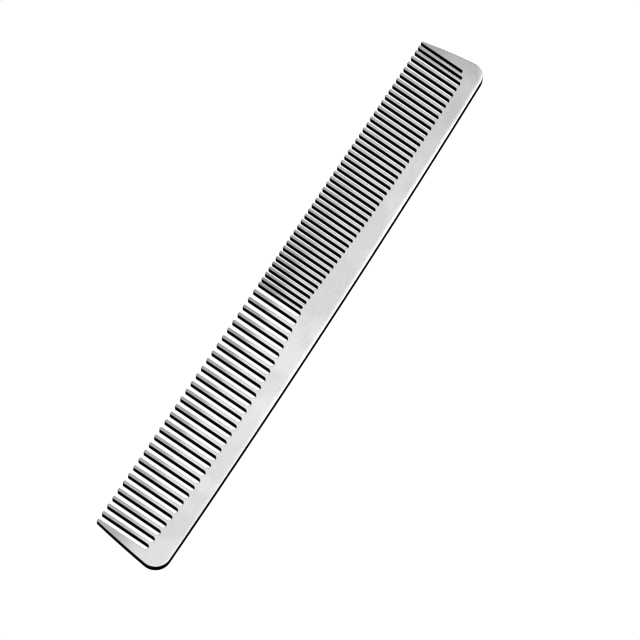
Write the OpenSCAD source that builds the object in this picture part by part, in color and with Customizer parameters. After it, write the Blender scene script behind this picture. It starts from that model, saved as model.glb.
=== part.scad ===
// Barber's comb, one plate of stainless steel: coarse teeth on one half, fine teeth on the other.
// It lies flat. X runs from the coarse end to the fine end, the teeth point to +Y, Z is up.
// The origin is at the middle of the underside of the whole comb.
// The plate is drawn as the regions of one piece of metal, which meet face to face.

/* [Body] */
// Overall length of the comb
comb_l = 180; // [150:1:230]
// Overall width, from the tip of the coarse end guard to the lowest point of the spine
comb_w = 24.5; // [21:0.1:32]
// Thickness of the spine and of the tooth roots
body_t = 3.5; // [2.5:0.1:5]
// Radius of the long sweep of the spine
spine_sweep_r = 3800; // [1500:100:6000]
// Distance of the widest place from the coarse end
widest_at = 28; // [10:1:60]

/* [Ends] */
// Radius of the spine corner at the coarse end
coarse_corner_r = 5; // [2:0.1:7]
// Radius of the spine corner at the fine end
fine_corner_r = 4.2; // [2:0.1:7]
// Slant of the coarse end where it leaves its corner, in degrees
coarse_end_slant = 8.4; // [4:0.1:10]
// Slant of the fine end where it leaves its corner, in degrees
fine_end_slant = 5.9; // [3:0.1:8]
// Radius of the slight bow of the coarse end
coarse_end_bow_r = 400; // [150:10:800]
// Radius of the slight bow of the fine end
fine_end_bow_r = 145; // [80:5:400]

/* [Teeth] */
// Lean of every tooth towards the fine end, in degrees
tooth_lean = 2; // [0:0.5:4]
// Width of a coarse tooth
coarse_tooth_w = 0.96; // [0.7:0.01:1.3]
// Width of a fine tooth
fine_tooth_w = 0.81; // [0.5:0.01:1]
// Wanted pitch of the coarse teeth, evened out to fill their run
coarse_pitch = 2.78; // [2.3:0.005:3.6]
// Wanted pitch of the fine teeth, evened out to fill their run
fine_pitch = 1.945; // [1.6:0.005:2.4]
// Length of the run of coarse teeth, from the first one to the first fine one
coarse_run = 83.45; // [60:0.05:110]
// Distance of the first coarse tooth from the coarse end, at the tips
coarse_inset = 5.95; // [5.6:0.05:9]
// Distance of the last gap from the fine end, at the tips
fine_inset = 3.2; // [3:0.05:6]
// Width of the narrow gaps, one at the start of the fine teeth and two at their end
narrow_gap = 0.92; // [0.6:0.01:1.1]
// Growth of the fine pitch from each tooth to the next
fine_growth = 0.0026; // [0:0.0001:0.004]
// How much lower the fine tips stand than the tip of the coarse end guard
tip_drop = 0.3; // [0:0.05:1]
// Radius of the crown on each tooth tip
tip_crown_r = 0.68; // [0.66:0.01:1]

/* [Gullets] */
// Depth of the deepest coarse gap
coarse_depth = 19.05; // [12:0.05:19.5]
// Radius of the sweep of the coarse gap bottoms
coarse_sweep_r = 355; // [250:5:900]
// Distance of the deepest coarse gap from the coarse end
coarse_deepest_at = 40.5; // [25:0.5:60]
// Depth of the deepest fine gap
fine_depth = 17.2; // [12:0.05:18]
// Radius of the sweep of the fine gap bottoms
fine_sweep_r = 825; // [500:5:1500]
// Distance of the deepest fine gap from the fine end
fine_deepest_at = 32.7; // [20:0.1:50]
// How much shorter the last fine gap is, so that the corner keeps its metal
last_gap_rise = 1.43; // [0:0.01:3]
// How much shorter the last fine gap but one is
second_gap_rise = 0.46; // [0:0.01:2]

/* [Taper] */
// Thickness at the tooth tips
tip_t = 3.2; // [2:0.1:4]
// Length of the tapered part of the teeth, from the tips
taper_l = 8.4; // [5:0.1:10]

/* [Hidden] */
steel = [0.8, 0.8, 0.81];
$fn = 64;
// Steps in the long sweep of the spine and in the bow of each end
sweep_steps = 40;
bow_steps = 12;
// Straight flank kept on the spine above each gap bottom, so that a tooth alone is convex
root_land = 0.3;
// A round is this much wider than what it runs into, so that the two cross cleanly
round_swell = 1.002;
// Overrun of cutting shapes past the faces that they cut
over = 1;

// Counts and pitches that fill the two runs
coarse_n = round(coarse_run / coarse_pitch);
coarse_step = coarse_run / coarse_n;
fine_run = comb_l - coarse_inset - coarse_run - fine_inset;
fine_n = round(fine_run / fine_pitch);
// One narrow step starts the fine run and two end it, the open steps lie between
narrow_n = 3;
narrow_step = fine_tooth_w + narrow_gap;
open_n = fine_n - narrow_n;
fine_step = (fine_run - narrow_n * narrow_step - fine_growth * open_n * (open_n - 1) / 2) / open_n;
last_gap = coarse_n + fine_n;

// Gap k lies between tooth k and tooth k + 1, where tooth 0 and the last one are the guards.
// Its flank on the fine side stands at right_x(k) on the tip line of the coarse guard, y = 0.
coarse_x = coarse_inset - comb_l / 2;
fine_x = coarse_x + coarse_run;
function open_sum(j) = j * fine_step + fine_growth * j * (j - 1) / 2;
function fine_offset(j) = j <= 0 ? 0
    : j <= open_n + 1 ? narrow_step + open_sum(j - 1)
    : narrow_step * (j - open_n) + open_sum(open_n);
function right_x(k) = k <= coarse_n ? coarse_x + k * coarse_step : fine_x + fine_offset(k - coarse_n);
function tooth_w(k) = k <= coarse_n ? coarse_tooth_w : fine_tooth_w;
function gap_w(k) = k == 0 ? coarse_step - coarse_tooth_w : right_x(k) - right_x(k - 1) - tooth_w(k);
function left_x(k) = right_x(k) - gap_w(k);
function lean_x(y) = y * tan(tooth_lean);
// Height of the tip of tooth k: the coarse tips step down evenly to the line of the fine ones
function tip_y(k) = -tip_drop * min(k / (coarse_n + 1), 1);

// Height of the bottom of gap k, on the sweep of its half
coarse_deepest_x = coarse_deepest_at - comb_l / 2;
fine_deepest_x = comb_l / 2 - fine_deepest_at;
function sweep_y(x, middle, radius, depth) =
    radius - depth - sqrt(radius * radius - (x - middle) * (x - middle));
function end_rise(k) = k == last_gap ? last_gap_rise : k == last_gap - 1 ? second_gap_rise : 0;
function gap_x(k, depth) = (left_x(k) + right_x(k)) / 2 + lean_x(-depth);
function bottom_y(k) = k <= coarse_n
    ? sweep_y(gap_x(k, coarse_depth), coarse_deepest_x, coarse_sweep_r, coarse_depth)
    : sweep_y(gap_x(k, fine_depth), fine_deepest_x, fine_sweep_r, fine_depth) + end_rise(k);
// Height at which tooth k leaves the spine, above the round bottoms of both its gaps
function flank_y(k) = bottom_y(k) + gap_w(k) / 2 + root_land;
function root_y(k) = k == 0 ? flank_y(0)
    : k > last_gap ? flank_y(last_gap)
    : max(flank_y(k - 1), flank_y(k));

// Spine sweep and the two corner rounds that touch it
spine_c = [widest_at - comb_l / 2, spine_sweep_r - comb_w];
function corner_y(x, r) =
    spine_c[1] - sqrt((spine_sweep_r - r) * (spine_sweep_r - r) - (x - spine_c[0]) * (x - spine_c[0]));
coarse_corner_x = coarse_corner_r - comb_l / 2;
coarse_touch_r = coarse_corner_r / round_swell;
coarse_c = [coarse_corner_x, corner_y(coarse_corner_x, coarse_touch_r)];
fine_corner_x = comb_l / 2 - fine_corner_r;
fine_touch_r = fine_corner_r / round_swell;
fine_c = [fine_corner_x, corner_y(fine_corner_x, fine_touch_r)];
function along(p, distance, angle) = [p[0] + distance * cos(angle), p[1] + distance * sin(angle)];
// Each end is a slight bow that touches its corner round and reaches the line y = 0 at its tip
coarse_end_a = 180 - coarse_end_slant;
coarse_bow_c = along(coarse_c, coarse_touch_r - coarse_end_bow_r, coarse_end_a);
fine_bow_c = along(fine_c, fine_touch_r - fine_end_bow_r, fine_end_slant);
function bow_tip_a(c, r) = asin(-c[1] / r);
coarse_tip_a = 180 - bow_tip_a(coarse_bow_c, coarse_end_bow_r);
fine_tip_a = bow_tip_a(fine_bow_c, fine_end_bow_r);
coarse_tip_x = along(coarse_bow_c, coarse_end_bow_r, coarse_tip_a)[0];
fine_tip_x = along(fine_bow_c, fine_end_bow_r, fine_tip_a)[0];

// Points on the arc of radius r about c from angle a to angle b, in n equal steps
function arc(c, r, a, b, n) = [for (i = [0:n]) along(c, r, a + (b - a) * i / n)];
// Angle of the ray from the centre of the spine sweep through a corner centre
function spine_ray(c) = atan2(c[1] - spine_c[1], c[0] - spine_c[0]);

// Plan of the comb before its gaps are cut. The long sweeps are fine chords, the corners true rounds.
module outline() {
    polygon(concat(
        arc(coarse_bow_c, coarse_end_bow_r, coarse_tip_a, coarse_end_a, bow_steps),
        [coarse_c],
        arc(spine_c, spine_sweep_r, spine_ray(coarse_c), spine_ray(fine_c), sweep_steps),
        [fine_c],
        arc(fine_bow_c, fine_end_bow_r, fine_end_slant, fine_tip_a, bow_steps)
    ));
    translate(coarse_c) circle(coarse_corner_r);
    translate(fine_c) circle(fine_corner_r);
}

// Gap k with its round bottom, leaning like the teeth, open past the tips
module gap(k) {
    half_w = gap_w(k) / 2 * cos(tooth_lean);
    round_r = half_w * round_swell;
    centre_y = bottom_y(k) + round_r;
    translate([gap_x(k, -centre_y), centre_y]) rotate(-tooth_lean) {
        circle(round_r);
        translate([-half_w, 0]) square([2 * half_w, over - centre_y]);
    }
}

// Everything above the line of steps where the teeth leave the spine
module above_roots() {
    steps = [for (k = [0:last_gap + 1]) let (
        y = root_y(k),
        from = k == 0 ? -comb_l / 2 - over : gap_x(k - 1, -y),
        to = k > last_gap ? comb_l / 2 + over : gap_x(k, -y)
    ) each [[from, y], [to, y]]];
    polygon(concat(steps, [[comb_l / 2 + over, over], [-comb_l / 2 - over, over]]));
}

// Rounds the tip of tooth k, which is centred on x there: whole up to the crown's centre, then the crown
module crowned(k, x) {
    y = tip_y(k) - tip_crown_r;
    intersection() {
        children();
        union() {
            translate([x + lean_x(y), y]) circle(tip_crown_r);
            translate([-comb_l, -comb_w - over]) square([2 * comb_l, comb_w + over + y]);
        }
    }
}

// Plan of tooth k from its root to its tip
module tooth(k) {
    y = root_y(k);
    from = right_x(k - 1);
    to = left_x(k);
    crowned(k, (from + to) / 2) polygon([
        [from + lean_x(y), y],
        [to + lean_x(y), y],
        [to, 0],
        [from, 0]
    ]);
}

// Bar along the comb whose section is the side view: flat at the spine, thinner to the tips
module taper_bar() {
    step = (body_t - tip_t) / 2;
    slope = step / taper_l;
    translate([-comb_l / 2 - over, 0, 0]) rotate([90, 0, 90]) linear_extrude(comb_l + 2 * over) polygon([
        [-comb_w - over, 0],
        [-taper_l, 0],
        [over, step + over * slope],
        [over, body_t - step - over * slope],
        [-taper_l, body_t],
        [-comb_w - over, body_t]
    ]);
}

// Puts the comb over the origin
module placed() {
    translate([0, comb_w / 2, 0]) children();
}

// Gives a plan its thickness and its taper to the tips
module plate() {
    placed() intersection() {
        linear_extrude(body_t) children();
        taper_bar();
    }
}

module spine() {
    color(steel) placed() linear_extrude(body_t) difference() {
        outline();
        above_roots();
        for (k = [0:last_gap]) gap(k);
    }
}

module coarse_end_guard() {
    color(steel) plate() crowned(0, (coarse_tip_x + left_x(0)) / 2) intersection() {
        outline();
        polygon([
            [-comb_l / 2 - over, root_y(0)],
            [left_x(0) + lean_x(root_y(0)), root_y(0)],
            [left_x(0), 0],
            [-comb_l / 2 - over, 0]
        ]);
    }
}

module coarse_teeth() {
    color(steel) plate() for (k = [1:coarse_n]) tooth(k);
}

module fine_teeth() {
    color(steel) plate() for (k = [coarse_n + 1:last_gap]) tooth(k);
}

module fine_end_guard() {
    k = last_gap + 1;
    y = root_y(k);
    color(steel) plate() crowned(k, (fine_tip_x + right_x(last_gap)) / 2) intersection() {
        outline();
        polygon([
            [right_x(last_gap) + lean_x(y), y],
            [comb_l / 2 + over, y],
            [comb_l / 2 + over, 0],
            [right_x(last_gap), 0]
        ]);
    }
}

spine();
coarse_end_guard();
coarse_teeth();
fine_teeth();
fine_end_guard();
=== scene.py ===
"""A barber's comb in satin stainless steel, coarse teeth on one half and fine teeth on the other.

The comb lies flat: X runs from the coarse end to the fine end, the teeth point to +Y and Z is up.
Its plan is drawn in millimetres, with heights counted from the tip line, where the tip of the coarse end
guard is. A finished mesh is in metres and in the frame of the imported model.
"""

import logging
import math
from dataclasses import dataclass, field
from enum import Enum
from functools import cached_property, reduce
from typing import ClassVar

import bmesh
import bpy
from bmesh.types import BMEdge, BMesh, BMVert
from mathutils import Matrix, Vector

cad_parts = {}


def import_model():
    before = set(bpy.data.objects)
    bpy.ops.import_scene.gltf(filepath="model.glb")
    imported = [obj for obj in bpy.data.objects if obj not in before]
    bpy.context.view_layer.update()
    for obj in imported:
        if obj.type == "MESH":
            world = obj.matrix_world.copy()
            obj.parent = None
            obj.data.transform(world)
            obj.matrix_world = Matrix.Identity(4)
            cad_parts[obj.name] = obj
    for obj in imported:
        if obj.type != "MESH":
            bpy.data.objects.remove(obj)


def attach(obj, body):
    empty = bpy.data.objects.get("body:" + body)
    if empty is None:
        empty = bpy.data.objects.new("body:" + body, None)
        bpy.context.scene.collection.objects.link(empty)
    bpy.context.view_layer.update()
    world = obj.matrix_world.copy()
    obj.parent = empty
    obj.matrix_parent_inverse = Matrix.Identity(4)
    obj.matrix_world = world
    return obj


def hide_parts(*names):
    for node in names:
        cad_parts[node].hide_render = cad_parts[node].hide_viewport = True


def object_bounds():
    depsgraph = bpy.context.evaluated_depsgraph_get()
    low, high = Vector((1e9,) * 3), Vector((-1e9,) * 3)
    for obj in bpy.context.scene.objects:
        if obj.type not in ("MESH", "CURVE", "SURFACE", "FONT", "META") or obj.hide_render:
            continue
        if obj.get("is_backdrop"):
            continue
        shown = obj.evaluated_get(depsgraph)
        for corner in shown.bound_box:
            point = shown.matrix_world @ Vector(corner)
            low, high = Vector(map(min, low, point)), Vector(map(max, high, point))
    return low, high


MM = 0.001
ROOT_BODY = "root"
UP = Vector((0, 0, 1))
TO_TIPS = Vector((0, 1, 0))
WHITE = (1, 1, 1, 1)

# The plate's sizes are whole tenths of a millimetre.
SIZE_DIGITS = 1

# Where a Mix node set to colours has its share, its two colours and its result.
MIX_SHARE = 0
MIX_FIRST = 6
MIX_SECOND = 7
MIX_RESULT = 2

log = logging.getLogger("comb")


class Zone(Enum):
    """Which finish a face of the comb takes. The values are the places of the materials on each piece."""

    FACE = 0
    WALL = 1
    RIM = 2


class CombEnd(Enum):
    """One end of the comb. The value is the side of X that it is on."""

    COARSE = -1
    FINE = 1


def heading(angle: float) -> Vector:
    """The direction in the plan at an angle from +X."""
    return Vector((math.cos(angle), math.sin(angle)))


def smooth_step(value: float) -> float:
    """Runs from 0 to 1 with no kink at either end, and stays there outside."""
    share = min(max(value, 0.0), 1.0)
    return share * share * (3 - 2 * share)


@dataclass(frozen=True)
class Round:
    """A circle in the plan that an edge of the comb follows."""

    centre: Vector
    radius: float

    def at(self, angle: float, inset: float = 0.0) -> Vector:
        """The point at an angle, moved towards the centre by inset."""
        return self.centre + (self.radius - inset) * heading(angle)

    def nearest(self, point: Vector, inset: float = 0.0) -> Vector:
        """The place on the circle, drawn in by inset, that is nearest to a point."""
        return self.centre + (self.radius - inset) * (point - self.centre).normalized()

    def at_height(self, y: float, side: CombEnd, inset: float = 0.0) -> Vector:
        """Where the circle reaches a height on one side.

        Args:
            y: the height.
            side: the end of the comb that the place is on.
            inset: how far the circle is drawn in.

        Returns:
            The place.
        """
        radius = self.radius - inset
        reach = math.sqrt(radius**2 - (y - self.centre.y) ** 2)
        return Vector((self.centre.x + side.value * reach, y))

    def upper_crossing(self, other: "Round") -> Vector:
        """Where this circle crosses another one, at the crossing that is higher.

        Args:
            other: the other circle.

        Returns:
            The place.
        """
        between = other.centre - self.centre
        along = (between.length_squared + self.radius**2 - other.radius**2) / (2 * between.length)
        across = math.sqrt(self.radius**2 - along**2)
        unit = between.normalized()
        middle = self.centre + along * unit
        found = [middle + sign * across * Vector((-unit.y, unit.x)) for sign in (-1, 1)]
        return max(found, key=lambda place: place.y)


@dataclass(frozen=True)
class HalfPlan:
    """One half of the comb: its teeth, and the end that it runs to.

    Args:
        tooth_w: the width of a tooth.
        pitch: the pitch that the teeth come closest to.
        inset: how far the run of teeth keeps from the end, on the tip line.
        depth: the greatest depth of the gaps, below the tip line.
        sweep_r: the radius of the sweep that the bottoms of the gaps follow.
        deepest_at: how far from the end that sweep is deepest.
        corner_r: the radius of the spine corner.
        slant: how far the end leans in towards the tips.
        bow_r: the radius of the end's slight bow.
    """

    tooth_w: float
    pitch: float
    inset: float
    depth: float
    sweep_r: float
    deepest_at: float
    corner_r: float
    slant: float
    bow_r: float


COARSE_HALF = HalfPlan(
    tooth_w=0.96,
    pitch=2.78,
    inset=5.95,
    depth=19.05,
    sweep_r=355,
    deepest_at=40.5,
    corner_r=5,
    slant=math.radians(8.4),
    bow_r=400,
)
FINE_HALF = HalfPlan(
    tooth_w=0.81,
    pitch=1.945,
    inset=3.2,
    depth=17.2,
    sweep_r=825,
    deepest_at=32.7,
    corner_r=4.2,
    slant=math.radians(5.9),
    bow_r=145,
)


@dataclass(frozen=True)
class CombPlan:
    """The plan of the comb, in millimetres: its outline, its teeth and its gaps.

    Gap k lies between tooth k and tooth k + 1, where tooth 0 and the last one are the end guards.

    Args:
        length: the overall length.
        width: the overall width.
        thickness: the thickness of the plate.
        coarse: the coarse half.
        fine: the fine half.
        coarse_run: the length of the run of coarse teeth.
        spine_sweep_r: the radius of the spine's long sweep.
        widest_at: how far from the coarse end the comb is widest.
        tooth_lean: how far the teeth lean towards the fine end.
        narrow_gap: the width of the narrow gaps between fine teeth.
        narrow_n: how many narrow gaps there are.
        fine_growth: how much longer each open step of the fine teeth is than the one before.
        tip_drop: how far the fine tips lie below the tip line.
        tip_crown_r: the radius of the crown of a tip.
        last_gap_rise: how much shallower the last gap is than the sweep.
        second_gap_rise: how much shallower the gap before it is.
        root_land: how far the straight flanks of a gap run on into the spine.
    """

    length: float
    width: float
    thickness: float
    coarse: HalfPlan = COARSE_HALF
    fine: HalfPlan = FINE_HALF
    coarse_run: float = 83.45
    spine_sweep_r: float = 3800
    widest_at: float = 28
    tooth_lean: float = math.radians(2)
    narrow_gap: float = 0.92
    narrow_n: int = 3
    fine_growth: float = 0.0026
    tip_drop: float = 0.3
    tip_crown_r: float = 0.68
    last_gap_rise: float = 1.43
    second_gap_rise: float = 0.46
    root_land: float = 0.3

    def half(self, end: CombEnd) -> HalfPlan:
        """The half of the comb that runs to one end."""
        return self.coarse if end is CombEnd.COARSE else self.fine

    @cached_property
    def coarse_n(self) -> int:
        """How many coarse teeth fill their run."""
        return round(self.coarse_run / self.coarse.pitch)

    @cached_property
    def coarse_step(self) -> float:
        """The pitch of the coarse teeth, evened out."""
        return self.coarse_run / self.coarse_n

    @cached_property
    def fine_run(self) -> float:
        """The length of the run of fine teeth."""
        return self.length - self.coarse.inset - self.coarse_run - self.fine.inset

    @cached_property
    def fine_n(self) -> int:
        """How many fine teeth fill their run."""
        return round(self.fine_run / self.fine.pitch)

    @cached_property
    def last_gap(self) -> int:
        """The number of the last gap."""
        return self.coarse_n + self.fine_n

    @cached_property
    def last_tooth(self) -> int:
        """The number of the guard at the fine end."""
        return self.last_gap + 1

    @cached_property
    def narrow_step(self) -> float:
        """The pitch where a narrow gap lies between two fine teeth."""
        return self.fine.tooth_w + self.narrow_gap

    @cached_property
    def open_n(self) -> int:
        """How many of the fine steps are open ones."""
        return self.fine_n - self.narrow_n

    @cached_property
    def fine_step(self) -> float:
        """The first open step of the fine teeth. Each one after it is longer by fine_growth."""
        grown = self.fine_growth * self.open_n * (self.open_n - 1) / 2
        return (self.fine_run - self.narrow_n * self.narrow_step - grown) / self.open_n

    def open_sum(self, steps: int) -> float:
        """The length of that many open steps."""
        return steps * self.fine_step + self.fine_growth * steps * (steps - 1) / 2

    def fine_offset(self, step: int) -> float:
        """How far a fine tooth stands from the first one. The first step and the last ones are narrow.

        Args:
            step: how many steps the tooth is from the first one.

        Returns:
            The distance.
        """
        if step <= 0:
            return 0.0
        if step <= self.open_n + 1:
            return self.narrow_step + self.open_sum(step - 1)
        return self.narrow_step * (step - self.open_n) + self.open_sum(self.open_n)

    def right_x(self, k: int) -> float:
        """Where the fine side of gap k stands on the tip line.

        Args:
            k: the gap.

        Returns:
            Its place along the comb.
        """
        coarse_x = self.coarse.inset - self.length / 2
        if k <= self.coarse_n:
            return coarse_x + k * self.coarse_step
        return coarse_x + self.coarse_run + self.fine_offset(k - self.coarse_n)

    def gap_w(self, k: int) -> float:
        """The width of a gap.

        Args:
            k: the gap.

        Returns:
            The width, along the comb.
        """
        if k == 0:
            return self.coarse_step - self.coarse.tooth_w
        half = self.coarse if k <= self.coarse_n else self.fine
        return self.right_x(k) - self.right_x(k - 1) - half.tooth_w

    def left_x(self, k: int) -> float:
        """Where the coarse side of gap k stands on the tip line."""
        return self.right_x(k) - self.gap_w(k)

    def lean_x(self, y: float) -> float:
        """How far the lean of the teeth moves a point at that height."""
        return y * math.tan(self.tooth_lean)

    def left_flank(self, k: int, y: float) -> Vector:
        """The point at that height on the coarse side of gap k."""
        return Vector((self.left_x(k) + self.lean_x(y), y))

    def right_flank(self, k: int, y: float) -> Vector:
        """The point at that height on the fine side of gap k."""
        return Vector((self.right_x(k) + self.lean_x(y), y))

    def tip_y(self, k: int) -> float:
        """The height of the tip of tooth k: the coarse tips step down evenly to the fine ones."""
        return -self.tip_drop * min(k / (self.coarse_n + 1), 1)

    def gap_x(self, k: int, y: float) -> float:
        """The middle of gap k at that height."""
        return (self.left_x(k) + self.right_x(k)) / 2 + self.lean_x(y)

    def sweep_y(self, k: int, end: CombEnd) -> float:
        """The height, at gap k, of the sweep of gap bottoms on one half of the comb.

        Args:
            k: the gap.
            end: the end that the half runs to.

        Returns:
            The height, below 0.
        """
        half = self.half(end)
        middle = end.value * (self.length / 2 - half.deepest_at)
        away = self.gap_x(k, -half.depth) - middle
        return half.sweep_r - half.depth - math.sqrt(half.sweep_r**2 - away**2)

    def bottom_y(self, k: int) -> float:
        """The height of the bottom of a gap.

        Args:
            k: the gap.

        Returns:
            The height, on the sweep of its half of the comb. The last two gaps are shallower.
        """
        if k <= self.coarse_n:
            return self.sweep_y(k, CombEnd.COARSE)
        rises = {self.last_gap: self.last_gap_rise, self.last_gap - 1: self.second_gap_rise}
        return self.sweep_y(k, CombEnd.FINE) + rises.get(k, 0.0)

    def flank_y(self, k: int) -> float:
        """The height from which both flanks of gap k are straight."""
        return self.bottom_y(k) + self.gap_w(k) / 2 + self.root_land

    def root_y(self, k: int) -> float:
        """The height at which tooth k leaves the spine, above the round bottoms of both its gaps."""
        return max(self.flank_y(gap) for gap in (k - 1, k) if 0 <= gap <= self.last_gap)

    @cached_property
    def spine_round(self) -> Round:
        """The long sweep of the spine."""
        middle = self.widest_at - self.length / 2
        return Round(Vector((middle, self.spine_sweep_r - self.width)), self.spine_sweep_r)

    def corner_round(self, end: CombEnd) -> Round:
        """The round of the spine corner at one end, which touches the sweep of the spine.

        Args:
            end: the end of the comb.

        Returns:
            The round.
        """
        radius = self.half(end).corner_r
        spine = self.spine_round
        x = end.value * (self.length / 2 - radius)
        drop = math.sqrt((spine.radius - radius) ** 2 - (x - spine.centre.x) ** 2)
        return Round(Vector((x, spine.centre.y - drop)), radius)

    def end_angle(self, end: CombEnd) -> float:
        """The angle at which the corner round of one end passes into the bow of that end."""
        slant = self.half(end).slant
        return math.pi - slant if end is CombEnd.COARSE else slant

    def spine_angle(self, end: CombEnd) -> float:
        """The angle at which the sweep of the spine passes into the corner round of one end."""
        towards = self.corner_round(end).centre - self.spine_round.centre
        return math.atan2(towards.y, towards.x)

    def bow_round(self, end: CombEnd) -> Round:
        """The slight bow of one end, which touches its corner round."""
        radius = self.half(end).bow_r
        return Round(self.corner_round(end).at(self.end_angle(end), radius), radius)

    def guard(self, end: CombEnd) -> int:
        """The number of the guard at one end."""
        return 0 if end is CombEnd.COARSE else self.last_tooth

    def side_x(self, k: int, side: CombEnd) -> float:
        """Where one side of a tooth reaches the tip line.

        Args:
            k: the tooth.
            side: the side of the tooth. The outer side of a guard is the comb's end.

        Returns:
            The place along the comb.
        """
        if k == self.guard(side):
            return self.bow_round(side).at_height(0, side).x
        return self.right_x(k - 1) if side is CombEnd.COARSE else self.left_x(k)

    def crown(self, k: int) -> Round:
        """The round of the tip of a tooth.

        Args:
            k: the tooth, or a guard.

        Returns:
            The round.
        """
        left, right = (self.side_x(k, side) for side in CombEnd)
        y = self.tip_y(k) - self.tip_crown_r
        return Round(Vector(((left + right) / 2 + self.lean_x(y), y)), self.tip_crown_r)


@dataclass
class Sketch:
    """A line drawn in the plan, on a bmesh.

    Args:
        bm: the bmesh that it is drawn on.
        verts: its points, in the order they were drawn.
        swept: the points added where a straight edge was bent into a sweep.
    """

    bm: BMesh
    verts: list[BMVert] = field(default_factory=list)
    swept: list[BMVert] = field(default_factory=list)

    def line_to(self, place: Vector) -> BMEdge | None:
        """Adds a straight edge, or the first point.

        Args:
            place: where the line goes.

        Returns:
            The edge, or None for the first point.
        """
        self.verts.append(self.bm.verts.new((place.x, place.y, 0)))
        return self.bm.edges.new(self.verts[-2:]) if len(self.verts) > 1 else None

    def turn(self, centre: Vector, angle: float, steps: int) -> None:
        """Adds a round of edges by spinning the last point.

        Args:
            centre: the middle of the round.
            angle: how far it turns, in radians, anticlockwise.
            steps: how many edges it has.
        """
        bmesh.ops.spin(
            self.bm,
            geom=[self.verts[-1]],
            cent=centre.to_3d(),
            axis=UP,
            dvec=(0, 0, 0),
            angle=angle,
            steps=steps,
            use_merge=False,
            use_normal_flip=False,
            use_duplicate=False,
        )
        self.bm.verts.ensure_lookup_table()
        self.verts += self.bm.verts[-steps:]

    def sweep(self, edge: BMEdge, circle: Round, steps: int, inset: float = 0.0) -> None:
        """Bends a straight edge into a long sweep: it is cut up and its new points go out to a circle.

        Args:
            edge: the edge.
            circle: the circle.
            steps: how many edges the sweep has.
            inset: how far the circle is drawn in.
        """
        start = edge.verts[0]
        for left in range(steps, 1, -1):
            _, added = bmesh.utils.edge_split(edge, start, 1 / left)
            edge = next(part for part in added.link_edges if start not in part.verts)
            start = added
            self.swept.append(added)
        for vert in self.swept[1 - steps :]:
            vert.co = circle.nearest(vert.co.xy, inset).to_3d()

    def edges(self) -> list[BMEdge]:
        """All its edges, each once, as long as nothing else is joined to its points."""
        return list(dict.fromkeys(edge for vert in self.verts + self.swept for edge in vert.link_edges))


@dataclass(frozen=True)
class PlateForge:
    """Turns a flat sheet of faces into a part of the comb plate.

    Args:
        plan: the plan of the comb.
        rim_r: the radius of the broken edges.
        rim_steps: how many strips a broken edge has.
        face_slope: the least upward part of a face's normal that still counts as the flat of the plate.
        wall_slope: the most that a wall may have.
        cut_match: how close a wall's normal is to the direction of a hidden cut to be one.
        sharp_angle: the angle between two faces from which their edge is sharp.
        bevel_shape: the profile of a broken edge. This one is round.
    """

    plan: CombPlan
    rim_r: float = 0.09
    rim_steps: int = 3
    face_slope: float = 0.975
    wall_slope: float = 0.1
    cut_match: float = 0.9999
    sharp_angle: float = math.radians(40)
    bevel_shape: float = 0.5

    def thicken(self, bm: BMesh) -> None:
        """Gives a sheet its thickness. Its top is the mirror image of its underside.

        Args:
            bm: the sheet.
        """
        made = bmesh.ops.extrude_face_region(bm, geom=bm.faces[:], use_keep_orig=False)
        top = [item for item in made["geom"] if isinstance(item, BMVert)]
        flip = Matrix.Translation((0, 0, self.plan.thickness)) @ Matrix.Scale(-1, 4, UP)
        bmesh.ops.transform(bm, matrix=flip, verts=top)
        bmesh.ops.recalc_face_normals(bm, faces=bm.faces[:])

    def is_rim(self, edge: BMEdge, cut_facing: Vector) -> bool:
        """Whether an edge runs between the flat of the plate and a wall that isn't a hidden cut.

        Args:
            edge: the edge.
            cut_facing: the direction that the part's hidden cuts face.

        Returns:
            True if it does.
        """
        flat, wall = sorted(edge.link_faces, key=lambda face: -abs(face.normal.z))
        return (
            abs(flat.normal.z) > self.face_slope
            and abs(wall.normal.z) < self.wall_slope
            and wall.normal.dot(cut_facing) < self.cut_match
        )

    def break_edges(self, bm: BMesh, cut_facing: Vector) -> None:
        """Rounds the long edges of the part and leaves its hidden cuts sharp, so that parts meet cleanly.

        Args:
            bm: the part.
            cut_facing: the direction that its hidden cuts face.
        """
        bm.normal_update()
        bmesh.ops.bevel(
            bm,
            geom=[edge for edge in bm.edges if self.is_rim(edge, cut_facing)],
            offset=self.rim_r,
            offset_type="OFFSET",
            segments=self.rim_steps,
            profile=self.bevel_shape,
            affect="EDGES",
            clamp_overlap=True,
            material=-1,
        )

    def mark_zones(self, bm: BMesh) -> None:
        """Gives each face the finish of its zone and shades the part smooth, apart from its sharp edges.

        Args:
            bm: the part.
        """
        bm.normal_update()
        for face in bm.faces:
            rise = abs(face.normal.z)
            side = Zone.WALL if rise < self.wall_slope else Zone.RIM
            face.material_index = (Zone.FACE if rise > self.face_slope else side).value
            face.smooth = True
        for edge in bm.edges:
            edge.smooth = edge.calc_face_angle() < self.sharp_angle

    def piece(self, bm: BMesh, name: str, node: str, finishes: list[bpy.types.Material]) -> None:
        """Makes the finished piece and puts it in place of its CAD node.

        Args:
            bm: the part, in millimetres. It is used up.
            name: the name of the piece.
            node: the CAD node that it stands for.
            finishes: the material of each zone.
        """
        place = Matrix.Scale(MM, 4) @ Matrix.Translation((0, self.plan.width / 2, 0))
        bmesh.ops.transform(bm, matrix=place, verts=bm.verts[:])
        mesh = bpy.data.meshes.new(name)
        bm.to_mesh(mesh)
        bm.free()
        for finish in finishes:
            mesh.materials.append(finish)
        made = bpy.data.objects.new(name, mesh)
        bpy.context.scene.collection.objects.link(made)
        made.modifiers.new("even_shading", "WEIGHTED_NORMAL").keep_sharp = True
        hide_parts(node)
        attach(made, ROOT_BODY)
        log.info("%s: %d faces", name, len(mesh.polygons))


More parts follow.
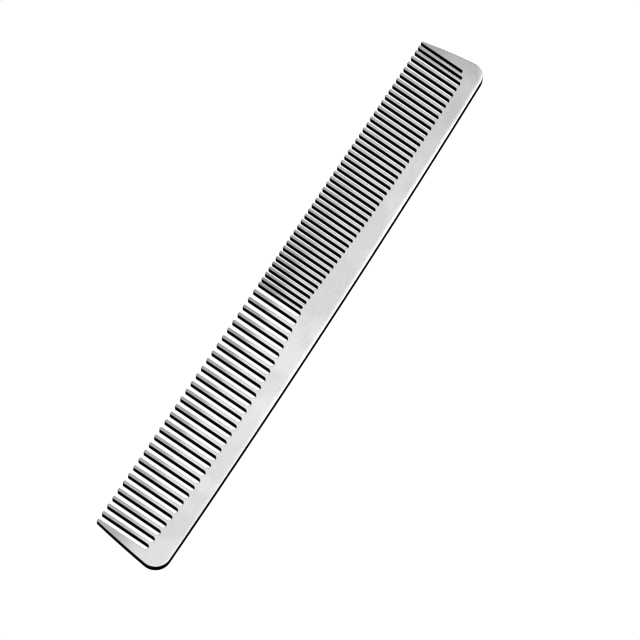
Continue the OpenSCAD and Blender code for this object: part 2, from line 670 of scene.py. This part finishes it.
@dataclass(frozen=True)
class SpineBack:
    """The back of the comb, with the round bottom of every gap.

    Its edge rolls over softly along the spine, and the roll-over fades out round the corners.

    Args:
        forge: makes the plate.
        roll_w: the width of the roll-over.
        roll_drop: how far it falls at the edge, at the fine end.
        coarse_drop_share: how far it falls at the coarse end, as a share of that.
        roll_rows: where its rows of edges lie, as shares of its width.
        round_steps: how many edges a gap's round bottom has.
        corner_steps: how many edges a corner round has.
        spine_steps: how many edges the long sweep has.
        bow_steps: how many edges the bow of each end has.
    """

    forge: PlateForge
    roll_w: float = 1.3
    roll_drop: float = 0.07
    coarse_drop_share: float = 0.4
    roll_rows: tuple[float, ...] = (0, 0.3, 0.5, 0.7, 0.85, 1)
    round_steps: int = 12
    corner_steps: int = 18
    spine_steps: int = 60
    bow_steps: int = 4

    def gap_line(self, bm: BMesh) -> Sketch:
        """Draws the line of gap bottoms, from the root of one guard to the root of the other.

        Args:
            bm: the bmesh to draw on.

        Returns:
            The line.
        """
        plan = self.forge.plan
        line = Sketch(bm)
        for k in range(plan.last_gap + 1):
            half_w = plan.gap_w(k) / 2 * math.cos(plan.tooth_lean)
            y = plan.bottom_y(k) + half_w
            centre = Vector((plan.gap_x(k, y), y))
            line.line_to(plan.left_flank(k, plan.root_y(k)))
            line.line_to(centre + half_w * heading(math.pi - plan.tooth_lean))
            line.turn(centre, math.pi, self.round_steps)
            line.line_to(plan.right_flank(k, plan.root_y(k + 1)))
        return line

    def edge_row(self, bm: BMesh, share: float) -> Sketch:
        """Draws one row of the spine's edge, round both corners, at the height of its roll-over.

        Args:
            bm: the bmesh to draw on.
            share: how far in the row lies, as a share of the roll-over's width.

        Returns:
            The row, from the coarse end to the fine end.
        """
        plan = self.forge.plan
        inset = share * self.roll_w
        coarse, fine = (plan.corner_round(end) for end in CombEnd)
        coarse_bow, fine_bow = (plan.bow_round(end) for end in CombEnd)
        coarse_end, fine_end = (plan.end_angle(end) for end in CombEnd)
        coarse_spine, fine_spine = (plan.spine_angle(end) for end in CombEnd)
        row = Sketch(bm)
        row.line_to(coarse_bow.at_height(plan.root_y(0), CombEnd.COARSE, inset))
        first = row.line_to(coarse.at(coarse_end, inset))
        row.turn(coarse.centre, coarse_spine % math.tau - coarse_end, self.corner_steps)
        spine = row.line_to(fine.at(fine_spine, inset))
        row.turn(fine.centre, fine_end - fine_spine, self.corner_steps)
        last = row.line_to(fine_bow.at_height(plan.root_y(plan.last_tooth), CombEnd.FINE, inset))
        row.sweep(first, coarse_bow, self.bow_steps, inset)
        row.sweep(spine, plan.spine_round, self.spine_steps, inset)
        row.sweep(last, fine_bow, self.bow_steps, inset)
        self.roll(row, share)
        return row

    def roll(self, row: Sketch, share: float) -> None:
        """Lifts the underside of a row by its part of the roll-over, less where it turns off the spine.

        Args:
            row: the row.
            share: how far in it lies, as a share of the roll-over's width.
        """
        lift = self.roll_drop * (1 - share) ** 2
        for vert in row.verts[1:-1] + row.swept:
            before, after = (edge.other_vert(vert).co for edge in vert.link_edges)
            along = smooth_step(0.5 + vert.co.x / self.forge.plan.length)
            depth = self.coarse_drop_share + (1 - self.coarse_drop_share) * along
            vert.co.z = lift * depth * smooth_step(abs((after - before).normalized().x))

    def build(self, finishes: list[bpy.types.Material]) -> None:
        """Makes the back.

        Args:
            finishes: the material of each zone.
        """
        bm = bmesh.new()
        gaps = self.gap_line(bm)
        rows = [self.edge_row(bm, share) for share in self.roll_rows]
        row_edges = [row.edges() for row in rows]
        outline = gaps.edges() + row_edges[-1]
        outline += [bm.edges.new((gaps.verts[end], rows[-1].verts[end])) for end in (0, -1)]
        bmesh.ops.edgeloop_fill(bm, edges=outline, mat_nr=0, use_smooth=False)
        for outer, inner in zip(row_edges, row_edges[1:]):
            bmesh.ops.bridge_loops(bm, edges=outer + inner)
        self.forge.thicken(bm)
        self.forge.break_edges(bm, TO_TIPS)
        self.forge.mark_zones(bm)
        self.forge.piece(bm, "spine_back", "spine", finishes)


@dataclass(frozen=True)
class TineCutter:
    """Makes teeth and guards: their plan, their ground taper and their rounded tips.

    Args:
        forge: makes the plate.
        taper_l: the length of the ground part, from the tip line.
        tip_t: the thickness that the ground part runs down to.
        tip_r: the radius that rounds the tip from face to face.
        crown_steps: how many edges the crown of a tip has.
        bow_steps: how many edges the bow of a guard has.
        taper_steps: how many steps the ground part has.
        tip_steps: how many steps the rounding of the tip has.
        cut_snap: how near a point lies to a cut to be taken as on it.
    """

    forge: PlateForge
    taper_l: float = 9.6
    tip_t: float = 3.2
    tip_r: float = 0.3
    crown_steps: int = 6
    bow_steps: int = 8
    taper_steps: int = 5
    tip_steps: int = 3
    cut_snap: float = 1e-5

    def shoulder(self, k: int, side: CombEnd) -> Vector:
        """Where the crown of a tip meets the side of its tooth.

        Args:
            k: the tooth.
            side: the side of the tooth.

        Returns:
            The place, on the bow of the comb's end if that side is the outside of a guard.
        """
        plan = self.forge.plan
        crown = plan.crown(k)
        if k == plan.guard(side):
            return crown.upper_crossing(plan.bow_round(side))
        flank = plan.right_x(k - 1) if side is CombEnd.COARSE else plan.left_x(k)
        across = heading(-plan.tooth_lean)
        away = (flank + plan.lean_x(crown.centre.y) - crown.centre.x) * across.x
        up = math.sqrt(crown.radius**2 - away**2)
        return crown.centre + away * across + up * Vector((-across.y, across.x))

    def root(self, k: int, side: CombEnd) -> Vector:
        """The point at the root of tooth k, on one side.

        Args:
            k: the tooth.
            side: the side of the tooth.

        Returns:
            The place.
        """
        plan = self.forge.plan
        y = plan.root_y(k)
        if k == plan.guard(side):
            return plan.bow_round(side).at_height(y, side)
        return plan.right_flank(k - 1, y) if side is CombEnd.COARSE else plan.left_flank(k, y)

    def draw(self, bm: BMesh, k: int) -> None:
        """Draws and fills the plan of tooth k.

        Args:
            bm: the bmesh to draw on.
            k: the tooth, or a guard.
        """
        plan = self.forge.plan
        centre = plan.crown(k).centre
        left_tip, right_tip = (self.shoulder(k, side) for side in CombEnd)
        line = Sketch(bm)
        line.line_to(right_tip)
        line.turn(centre, (right_tip - centre).angle(left_tip - centre), self.crown_steps)
        left_side = line.line_to(self.root(k, CombEnd.COARSE))
        line.line_to(self.root(k, CombEnd.FINE))
        right_side = bm.edges.new((line.verts[-1], line.verts[0]))
        for side, edge in ((CombEnd.COARSE, left_side), (CombEnd.FINE, right_side)):
            if k == plan.guard(side):
                line.sweep(edge, plan.bow_round(side), self.bow_steps)
        bmesh.ops.edgeloop_fill(bm, edges=line.edges(), mat_nr=0, use_smooth=False)

    def half_t(self, y: float, tip_y: float) -> float:
        """Half the thickness of a tine at a height.

        Args:
            y: the height.
            tip_y: the height of its tip.

        Returns:
            Half the thickness: whole up to the ground part, then ground down, then rounded at the tip.
        """
        full = self.forge.plan.thickness
        ground = (full - self.tip_t) / 2 * max(0.0, 1 + y / self.taper_l) ** 2
        over = min(max(0.0, y - tip_y + self.tip_r), self.tip_r)
        rounded = self.tip_r - math.sqrt(self.tip_r**2 - over**2)
        return full / 2 - ground - rounded

    def grind(self, bm: BMesh, tip_y: float) -> None:
        """Tapers a tine towards its tip on both faces and rounds its tip.

        Args:
            bm: the tine.
            tip_y: the height of its tip.
        """
        heights = [self.taper_l * (step / self.taper_steps - 1) for step in range(self.taper_steps)]
        for step in range(self.tip_steps):
            quarter = math.radians(90 * step / self.tip_steps)
            heights.append(tip_y - self.tip_r * (1 - math.sin(quarter)))
        for y in heights:
            whole = bm.verts[:] + bm.edges[:] + bm.faces[:]
            cut = {"plane_co": y * TO_TIPS, "plane_no": TO_TIPS}
            bmesh.ops.bisect_plane(bm, geom=whole, dist=self.cut_snap, **cut)
        middle = self.forge.plan.thickness / 2
        for vert in bm.verts:
            share = self.half_t(vert.co.y, tip_y) / middle
            vert.co.z = middle + (vert.co.z - middle) * share

    def tine(self, k: int) -> bpy.types.Mesh:
        """Makes one tooth or guard.

        Args:
            k: the tooth.

        Returns:
            Its mesh, in millimetres.
        """
        bm = bmesh.new()
        self.draw(bm, k)
        self.forge.thicken(bm)
        self.forge.break_edges(bm, -TO_TIPS)
        self.forge.mark_zones(bm)
        self.grind(bm, self.forge.plan.tip_y(k))
        mesh = bpy.data.meshes.new("tine")
        bm.to_mesh(mesh)
        bm.free()
        return mesh

    def build(self, name: str, node: str, tines: range, finishes: list[bpy.types.Material]) -> None:
        """Makes a run of teeth, or one guard, as one piece.

        Args:
            name: the name of the piece.
            node: the CAD node that it stands for.
            tines: the numbers of its teeth.
            finishes: the material of each zone.
        """
        bm = bmesh.new()
        for k in tines:
            mesh = self.tine(k)
            bm.from_mesh(mesh)
            bpy.data.meshes.remove(mesh)
        self.forge.piece(bm, name, node, finishes)


@dataclass(frozen=True)
class NodeSheet:
    """Adds nodes to a tree and joins them up."""

    tree: bpy.types.NodeTree

    def join(self, socket: bpy.types.NodeSocket, value: object) -> None:
        """Gives an input a value or another node's output.

        Args:
            socket: the input.
            value: the value or the output.
        """
        if isinstance(value, bpy.types.NodeSocket):
            self.tree.links.new(value, socket)
        else:
            socket.default_value = value

    def add(self, kind: str, inputs: dict[str | int, object], **settings: object) -> bpy.types.Node:
        """Adds a node.

        Args:
            kind: the type of the node.
            inputs: a value or another node's output for each input that isn't left as it is.
            settings: the node's own settings.

        Returns:
            The node.
        """
        node = self.tree.nodes.new(kind)
        for name, value in settings.items():
            setattr(node, name, value)
        for name, value in inputs.items():
            self.join(node.inputs[name], value)
        return node

    def place(self) -> bpy.types.NodeSocket:
        """The place of a point on the comb, in metres."""
        return self.add("ShaderNodeTexCoord", {}).outputs["Object"]

    def axes(self, vector: object) -> bpy.types.bpy_prop_collection:
        """The parts of a vector along X, Y and Z."""
        return self.add("ShaderNodeSeparateXYZ", {0: vector}).outputs

    def maths(self, operation: str, a: object, b: object) -> bpy.types.NodeSocket:
        """The result of one sum on two numbers."""
        return self.add("ShaderNodeMath", {0: a, 1: b}, operation=operation).outputs[0]

    def product(self, *values: object) -> bpy.types.NodeSocket:
        """The product of two or more numbers."""
        return reduce(lambda a, b: self.maths("MULTIPLY", a, b), values)

    def ramp(
        self, value: object, over: tuple[object, object], low: object, high: object
    ) -> bpy.types.NodeSocket:
        """A smooth change from low to high as a value goes over a stretch, from its start to its end."""
        inputs = {"Value": value, "From Min": over[0], "From Max": over[1], "To Min": low, "To Max": high}
        return self.add("ShaderNodeMapRange", inputs, interpolation_type="SMOOTHSTEP").outputs[0]

    def blend(self, share: object, a: object, b: object) -> bpy.types.NodeSocket:
        """A colour between two others, at a share of the way from the first to the second."""
        colours = {MIX_SHARE: share, MIX_FIRST: a, MIX_SECOND: b}
        return self.add("ShaderNodeMix", colours, data_type="RGBA").outputs[MIX_RESULT]


@dataclass(frozen=True)
class Clouds:
    """A cloudy value from 0 to 1.

    Args:
        detail: how many finer layers of cloud there are.
        gain: how strong each finer layer is, next to the one before.
    """

    detail: float
    gain: float

    def draw(self, sheet: NodeSheet, place: object, scale: object) -> bpy.types.NodeSocket:
        """Adds the clouds to a sheet.

        Args:
            sheet: the sheet.
            place: the vector that they are drawn on.
            scale: how many there are to a unit of it.

        Returns:
            The value.
        """
        inputs = {"Vector": place, "Scale": scale, "Detail": self.detail, "Roughness": self.gain}
        return sheet.add("ShaderNodeTexNoise", inputs, noise_dimensions="3D").outputs[0]


@dataclass(frozen=True)
class EffectGroup:
    """A surface effect that several finishes share, as a node group.

    Args:
        name: the name of the group.
        inputs: the names of its inputs.
        output: the name of its output.
    """

    name: str
    inputs: tuple[str, ...]
    output: str

    def start(self) -> tuple[NodeSheet, dict[str, bpy.types.NodeSocket], bpy.types.NodeSocket]:
        """Opens the group.

        Returns:
            Its sheet, its inputs by name and the socket that its result goes to.
        """
        tree = bpy.data.node_groups.new(self.name, "ShaderNodeTree")
        for name in self.inputs:
            tree.interface.new_socket(name, in_out="INPUT", socket_type="NodeSocketFloat")
        tree.interface.new_socket(self.output, in_out="OUTPUT", socket_type="NodeSocketFloat")
        sheet = NodeSheet(tree)
        entry = sheet.add("NodeGroupInput", {})
        result = sheet.add("NodeGroupOutput", {}).inputs[self.output]
        return sheet, {name: entry.outputs[name] for name in self.inputs}, result

    def use(self, sheet: NodeSheet, *values: float) -> bpy.types.NodeSocket:
        """The result of the group in a material, with the material's own values for its inputs."""
        tree = bpy.data.node_groups[self.name]
        return sheet.add("ShaderNodeGroup", dict(zip(self.inputs, values)), node_tree=tree).outputs[0]


@dataclass(frozen=True)
class SteelEffects:
    """The effects that the finishes of the steel share.

    A pair is where a change starts and where it ends. A stretch is a pair in metres along the comb.

    Args:
        grain_clouds: the clouds that are stretched into brushed lines.
        marks_clouds: the clouds of the handling marks.
        marks_from: the heights of cloud between which a mark fades in.
        wear_clouds: the clouds that leave gaps in the rubbing.
        wear_scale: how many of those there are to a metre.
        wear_to: the height of cloud at which the rubbing is whole.
        wear_turn: the match of a face with its rounded edge, from unworn to worn.
        bevel_rays: how many rays feel for an edge.
        start_stretch: where the start of the ground part moves from the coarse end's to the usual one.
        coarse_stretch: where the painted shade of the ground part comes to its full strength.
        fine_stretch: where the painted shade of the ground part fades.
        coarse_painted_shade_stretch: where the painted shade of the coarse end ends.
        middle_painted_shade_stretch: where the painted shade of the middle begins.
        fine_painted_shade_stretch: where the painted shade of the fine end begins.
        guard_painted_shade_stretch: where the painted shade of the fine guard begins.
    """

    grain_clouds: Clouds = Clouds(4.0, 0.62)
    marks_clouds: Clouds = Clouds(3.0, 0.45)
    marks_from: tuple[float, float] = (0.38, 0.66)
    wear_clouds: Clouds = Clouds(3.0, 0.6)
    wear_scale: float = 420.0
    wear_to: float = 0.62
    wear_turn: tuple[float, float] = (0.995, 0.9)
    bevel_rays: int = 4
    start_stretch: tuple[float, float] = (-0.09, -0.055)
    coarse_stretch: tuple[float, float] = (-0.085, -0.045)
    fine_stretch: tuple[float, float] = (-0.005, 0.06)
    coarse_painted_shade_stretch: tuple[float, float] = (-0.09, -0.04)
    middle_painted_shade_stretch: tuple[float, float] = (-0.03, 0.015)
    fine_painted_shade_stretch: tuple[float, float] = (0.025, 0.09)
    guard_painted_shade_stretch: tuple[float, float] = (0.083, 0.0885)

    grain: ClassVar[EffectGroup] = EffectGroup("brushed_grain", ("lines x", "lines y", "lines z"), "shade")
    marks: ClassVar[EffectGroup] = EffectGroup("handling_marks", ("size",), "mask")
    wear: ClassVar[EffectGroup] = EffectGroup("edge_wear", ("width", "break up"), "mask")
    # Painted shade on the ground part of the teeth, and a painted highlight there on the rim.
    grind: ClassVar[EffectGroup] = EffectGroup(
        "painted_taper_light", ("start", "coarse start", "end", "coarse end", "fine end"), "mask"
    )
    # Painted shade: the colour is darkened along the plate, most towards the fine end, for how the light
    # falls on it.
    tone: ClassVar[EffectGroup] = EffectGroup(
        "painted_shade_along_plate", ("coarse end", "middle", "fine end", "fine guard"), "tone"
    )

    def build(self) -> None:
        """Makes all the groups."""
        self.build_grain()
        self.build_marks()
        self.build_wear()
        self.build_painted_taper_light()
        self.build_painted_shade()

    def build_grain(self) -> None:
        """Fine brushed lines. The inputs say how many there are to a metre along each axis."""
        sheet, inputs, shade = self.grain.start()
        lines = sheet.add("ShaderNodeCombineXYZ", dict(enumerate(inputs.values()))).outputs[0]
        stretched = sheet.add("ShaderNodeVectorMath", {0: sheet.place(), 1: lines}, operation="MULTIPLY")
        sheet.join(shade, self.grain_clouds.draw(sheet, stretched.outputs[0], 1.0))

    def build_marks(self) -> None:
        """Faint cloudy patches left by hands and cloths."""
        sheet, inputs, mask = self.marks.start()
        cloud = self.marks_clouds.draw(sheet, sheet.place(), inputs["size"])
        sheet.join(mask, sheet.ramp(cloud, self.marks_from, 0.0, 1.0))

    def build_wear(self) -> None:
        """Where edges are rubbed bright, with gaps in the rubbing."""
        sheet, inputs, mask = self.wear.start()
        rounded = sheet.add("ShaderNodeBevel", {"Radius": inputs["width"]}, samples=self.bevel_rays)
        true = sheet.add("ShaderNodeNewGeometry", {}).outputs["Normal"]
        both = {0: rounded.outputs[0], 1: true}
        match = sheet.add("ShaderNodeVectorMath", both, operation="DOT_PRODUCT").outputs["Value"]
        cloud = self.wear_clouds.draw(sheet, sheet.place(), self.wear_scale)
        patchy = sheet.ramp(cloud, (inputs["break up"], self.wear_to), 0.0, 1.0)
        sheet.join(mask, sheet.product(sheet.ramp(match, self.wear_turn, 0.0, 1.0), patchy))

    def build_painted_taper_light(self) -> None:
        """Where the ground part of the teeth takes its painted shade, from start to end.

        It is weaker towards both ends of the comb, and starts nearer the spine at the coarse end.
        """
        sheet, inputs, mask = self.grind.start()
        x, y, _ = sheet.axes(sheet.place())
        start = sheet.ramp(x, self.start_stretch, inputs["coarse start"], inputs["start"])
        ground = sheet.ramp(y, (start, inputs["end"]), 0.0, 1.0)
        coarse = sheet.ramp(x, self.coarse_stretch, inputs["coarse end"], 1.0)
        fine = sheet.ramp(x, self.fine_stretch, 1.0, inputs["fine end"])
        sheet.join(mask, sheet.product(ground, coarse, fine))

    def build_painted_shade(self) -> None:
        """Painted shade: the slow change of brightness along the plate, as a share of full brightness."""
        sheet, inputs, tone = self.tone.start()
        x = sheet.axes(sheet.place())[0]
        coarse = sheet.ramp(x, self.coarse_painted_shade_stretch, inputs["coarse end"], 1.0)
        middle = sheet.ramp(x, self.middle_painted_shade_stretch, 1.0, inputs["middle"])
        fine = sheet.ramp(x, self.fine_painted_shade_stretch, 1.0, inputs["fine end"])
        guard = sheet.ramp(x, self.guard_painted_shade_stretch, 1.0, inputs["fine guard"])
        sheet.join(tone, sheet.product(coarse, middle, fine, guard))


@dataclass(frozen=True)
class SteelFinish:
    """One finish of the stainless steel. Its colours are greys, from 0 to 1, and several of them are
    painted shade and painted highlight.

    Args:
        name: the name of the material.
        grey: the grey of the bare finish.
        painted_taper_grey: its grey where the teeth are ground, a painted shade of the tapered faces (a
            painted highlight on the rim).
        worn_grey: its grey where edges are rubbed.
        roughness: how rough it is.
        grain: how many brushed lines there are to a metre along each axis.
        grain_depth: the height of the brushed lines, in metres.
        grain_shade: how much the lines change the colour.
        marks_shade: how much handling marks darken it.
        grain_from: the heights of a brushed line between which it comes up to full brightness.
        marks_per_m: how many handling marks there are to a metre.
        wear_w: how wide the rubbing of an edge is, in metres.
        wear_break: the height of cloud at which the rubbing starts.
        least_rough: the least roughness, as a share of it.
        line_rough: how much rougher a brushed line is, as a share of it.
        ground_start: where up a tooth its ground part starts, from the middle of the comb's width.
        coarse_start: where it starts at the coarse end.
        ground_end: where up a tooth it is wholly ground.
        coarse_painted_taper: how strongly that painted grey shows on the ground teeth of the coarse end.
        fine_painted_taper: how strongly it shows on the ground teeth of the fine end.
        painted_shade_levels: the painted shade of the coarse end, the middle, the fine end and the fine
            guard, as shares of full brightness.
    """

    name: str
    grey: float
    painted_taper_grey: float
    worn_grey: float
    roughness: float
    grain: tuple[float, float, float]
    grain_depth: float
    grain_shade: float
    marks_shade: float
    grain_from: tuple[float, float] = (0.3, 0.7)
    marks_per_m: float = 90.0
    wear_w: float = 0.16 * MM
    wear_break: float = 0.4
    least_rough: float = 0.85
    line_rough: float = 0.3
    ground_start: float = 1.25 * MM
    coarse_start: float = -4.75 * MM
    ground_end: float = 7.45 * MM
    coarse_painted_taper: float = 0.75
    fine_painted_taper: float = 0.24
    painted_shade_levels: tuple[float, float, float, float] = (0.97, 0.948, 0.895, 0.93)

    def build(self, effects: SteelEffects) -> bpy.types.Material:
        """Makes the material.

        Args:
            effects: the shared effects.

        Returns:
            The material.
        """
        material = bpy.data.materials.new(self.name)
        material.use_nodes = True
        greys = (self.grey, self.painted_taper_grey, self.worn_grey)
        bare, ground, worn = ((grey, grey, grey, 1) for grey in greys)
        material.diffuse_color = bare
        material.node_tree.nodes.clear()
        sheet = NodeSheet(material.node_tree)
        grain = effects.grain.use(sheet, *self.grain)
        marks = effects.marks.use(sheet, self.marks_per_m)
        wear = effects.wear.use(sheet, self.wear_w, self.wear_break)
        reach = (self.ground_start, self.coarse_start, self.ground_end)
        grind = effects.grind.use(sheet, *reach, self.coarse_painted_taper, self.fine_painted_taper)
        # Painted shade along the plate, multiplied into the colour below.
        tone = effects.tone.use(sheet, *self.painted_shade_levels)
        # The ground part takes a painted grey: painted shade on the faces and walls, and a painted
        # highlight on the rim.
        steel = sheet.blend(wear, sheet.blend(grind, bare, ground), worn)
        lined = sheet.ramp(grain, self.grain_from, 1.0 - self.grain_shade, 1.0)
        marked = sheet.ramp(marks, (0.0, 1.0), 1.0, 1.0 - self.marks_shade)
        shade = sheet.product(lined, marked, tone)
        colour = sheet.add("ShaderNodeVectorMath", {0: steel, "Scale": shade}, operation="SCALE")
        rougher = sheet.product(grain, self.line_rough * self.roughness)
        roughness = sheet.maths("ADD", rougher, self.least_rough * self.roughness)
        bump = sheet.add("ShaderNodeBump", {"Height": grain, "Distance": self.grain_depth})
        looks = {"Base Color": colour.outputs[0], "Roughness": roughness, "Normal": bump.outputs[0]}
        shader = sheet.add("ShaderNodeBsdfPrincipled", {**looks, "Metallic": 1.0})
        sheet.add("ShaderNodeOutputMaterial", {"Surface": shader.outputs[0]})
        return material


SATIN_FACE = SteelFinish(
    name="satin_face",
    grey=0.812,
    painted_taper_grey=0.61,
    worn_grey=0.86,
    roughness=0.34,
    grain=(260, 2600, 2600),
    grain_depth=6e-7,
    grain_shade=0.02,
    marks_shade=0.04,
)
# The walls' grey and its ground grey are darker than the faces': painted shade of the walls.
SHADED_WALL = SteelFinish(
    name="shaded_wall",
    grey=0.64,
    painted_taper_grey=0.58,
    worn_grey=0.7,
    roughness=0.24,
    grain=(2600, 2600, 260),
    grain_depth=6e-7,
    grain_shade=0.15,
    marks_shade=0.1,
)
# The rim's grey is much darker than the faces': a painted dark reflection along the rounded edges.
SHADED_RIM = SteelFinish(
    name="shaded_rim",
    grey=0.46,
    painted_taper_grey=0.6,
    worn_grey=0.56,
    roughness=0.26,
    grain=(600, 2600, 2600),
    grain_depth=1e-6,
    grain_shade=0.04,
    marks_shade=0.05,
)


@dataclass(frozen=True)
class Studio:
    """A white floor, a softbox, and a surround that the steel mirrors: dark below the comb, light above it.

    A pair of heights is where a change starts and where it ends, as the upward part of a direction.

    Args:
        white: the strength of the white that the camera sees round the comb.
        floor_side: the side of the floor.
        floor_gap: how far the floor lies below the comb, so that the two don't touch.
        softbox_at: where the middle of the softbox is.
        softbox_side: the side of the softbox.
        softbox_power: its power, in watts.
        low_heights: the heights between which the dark below comes up to the light round the comb.
        low_glow: how bright that light is.
        high_heights: the heights between which the surround gets brighter still overhead.
        high_glow: how much brighter it gets there.
        tip_side_lift: how much higher a direction counts for each part of it that is towards the tips.
    """

    white: float = 1.02
    floor_side: float = 4.0
    floor_gap: float = 0.2 * MM
    softbox_at: tuple[float, float, float] = (0.28, -0.36, 0.8)
    softbox_side: float = 0.5
    softbox_power: float = 1.8
    low_heights: tuple[float, float] = (-0.85, -0.3)
    low_glow: float = 0.85
    high_heights: tuple[float, float] = (0.2, 0.95)
    high_glow: float = 0.18
    tip_side_lift: float = 0.5

    def build(self) -> None:
        """Makes the floor, the softbox and the surround."""
        self.build_floor()
        self.build_softbox()
        self.build_surround()

    def build_floor(self) -> None:
        """Makes the floor, which only the camera sees."""
        bm = bmesh.new()
        bmesh.ops.create_grid(bm, x_segments=1, y_segments=1, size=self.floor_side / 2)
        bmesh.ops.translate(bm, vec=-self.floor_gap * UP, verts=bm.verts[:])
        mesh = bpy.data.meshes.new("floor")
        bm.to_mesh(mesh)
        bm.free()
        floor = bpy.data.objects.new("floor", mesh)
        bpy.context.scene.collection.objects.link(floor)
        paper = bpy.data.materials.new("lit_white_paper")
        paper.use_nodes = True
        paper.node_tree.nodes.clear()
        sheet = NodeSheet(paper.node_tree)
        glow = sheet.add("ShaderNodeEmission", {"Color": WHITE, "Strength": self.white})
        sheet.add("ShaderNodeOutputMaterial", {"Surface": glow.outputs[0]})
        mesh.materials.append(paper)
        floor.visible_glossy = False
        floor.visible_diffuse = False
        floor.visible_shadow = False
        floor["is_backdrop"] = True

    def build_softbox(self) -> None:
        """Makes the softbox, which faces the middle of the comb."""
        light = bpy.data.lights.new("softbox", "AREA")
        light.size = self.softbox_side
        light.energy = self.softbox_power
        softbox = bpy.data.objects.new("softbox", light)
        softbox.location = self.softbox_at
        softbox.rotation_euler = Vector(self.softbox_at).to_track_quat("Z", "Y").to_euler()
        bpy.context.scene.collection.objects.link(softbox)

    def build_surround(self) -> None:
        """Makes the surround: white to the camera, and to the steel light round it and black below it."""
        world = bpy.data.worlds.new("surround")
        bpy.context.scene.world = world
        world.use_nodes = True
        world.node_tree.nodes.clear()
        sheet = NodeSheet(world.node_tree)
        _, y, z = sheet.axes(sheet.add("ShaderNodeTexCoord", {}).outputs["Generated"])
        lift = sheet.product(sheet.maths("MAXIMUM", y, 0.0), self.tip_side_lift)
        low = sheet.ramp(sheet.maths("ADD", z, lift), self.low_heights, 0.0, self.low_glow)
        high = sheet.ramp(z, self.high_heights, 0.0, self.high_glow)
        light = {"Color": WHITE, "Strength": sheet.maths("ADD", low, high)}
        steel_sees = sheet.add("ShaderNodeBackground", light).outputs[0]
        white = {"Color": WHITE, "Strength": self.white}
        camera_sees = sheet.add("ShaderNodeBackground", white).outputs[0]
        to_camera = sheet.add("ShaderNodeLightPath", {}).outputs["Is Camera Ray"]
        both = sheet.add("ShaderNodeMixShader", {0: to_camera, 1: steel_sees, 2: camera_sees})
        sheet.add("ShaderNodeOutputWorld", {"Surface": both.outputs[0]})


@dataclass(frozen=True)
class CameraStand:
    """The camera, which sees the comb with no perspective, as from far off.

    Args:
        target: the point in the middle of the picture.
        azimuth: which way it looks, from +Y towards -X.
        elevation: how far it stands above the horizon.
        distance: how far it stands from the target.
        view_w: the width of what it sees.
        nearest: how near it can see.
    """

    target: Vector = Vector((0.0, -9.3, 3.5)) * MM
    azimuth: float = math.radians(-56.94)
    elevation: float = math.radians(74.31)
    distance: float = 1.2
    view_w: float = 187.3 * MM
    nearest: float = 10 * MM

    def build(self) -> None:
        """Makes the camera and gives it to the scene."""
        flat = math.cos(self.elevation)
        x, y = math.sin(self.azimuth) * flat, -math.cos(self.azimuth) * flat
        back = Vector((x, y, math.sin(self.elevation)))
        data = bpy.data.cameras.new("camera")
        data.type = "ORTHO"
        data.ortho_scale = self.view_w
        data.clip_start = self.nearest
        camera = bpy.data.objects.new("camera", data)
        camera.location = self.target + self.distance * back
        camera.rotation_euler = back.to_track_quat("Z", "Y").to_euler()
        bpy.context.scene.collection.objects.link(camera)
        bpy.context.scene.camera = camera


def main() -> None:
    """Loads the frame, builds the comb piece by piece and lights it."""
    logging.basicConfig(level=logging.INFO, format="%(name)s: %(message)s")
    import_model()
    cad_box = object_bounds()
    length, width, thickness = (round(side, SIZE_DIGITS) for side in (cad_box[1] - cad_box[0]) / MM)
    plan = CombPlan(length, width, thickness)
    effects = SteelEffects()
    effects.build()
    finishes = [finish.build(effects) for finish in (SATIN_FACE, SHADED_WALL, SHADED_RIM)]
    forge = PlateForge(plan)
    tines = TineCutter(forge)
    fine_start = plan.coarse_n + 1
    SpineBack(forge).build(finishes)
    tines.build("coarse_guard", "coarse_end_guard", range(1), finishes)
    tines.build("coarse_row", "coarse_teeth", range(1, fine_start), finishes)
    tines.build("fine_row", "fine_teeth", range(fine_start, plan.last_tooth), finishes)
    tines.build("fine_guard", "fine_end_guard", range(plan.last_tooth, plan.last_tooth + 1), finishes)
    Studio().build()
    CameraStand().build()
    bpy.context.scene.view_settings.view_transform = "Raw"


if __name__ == "__main__":
    main()
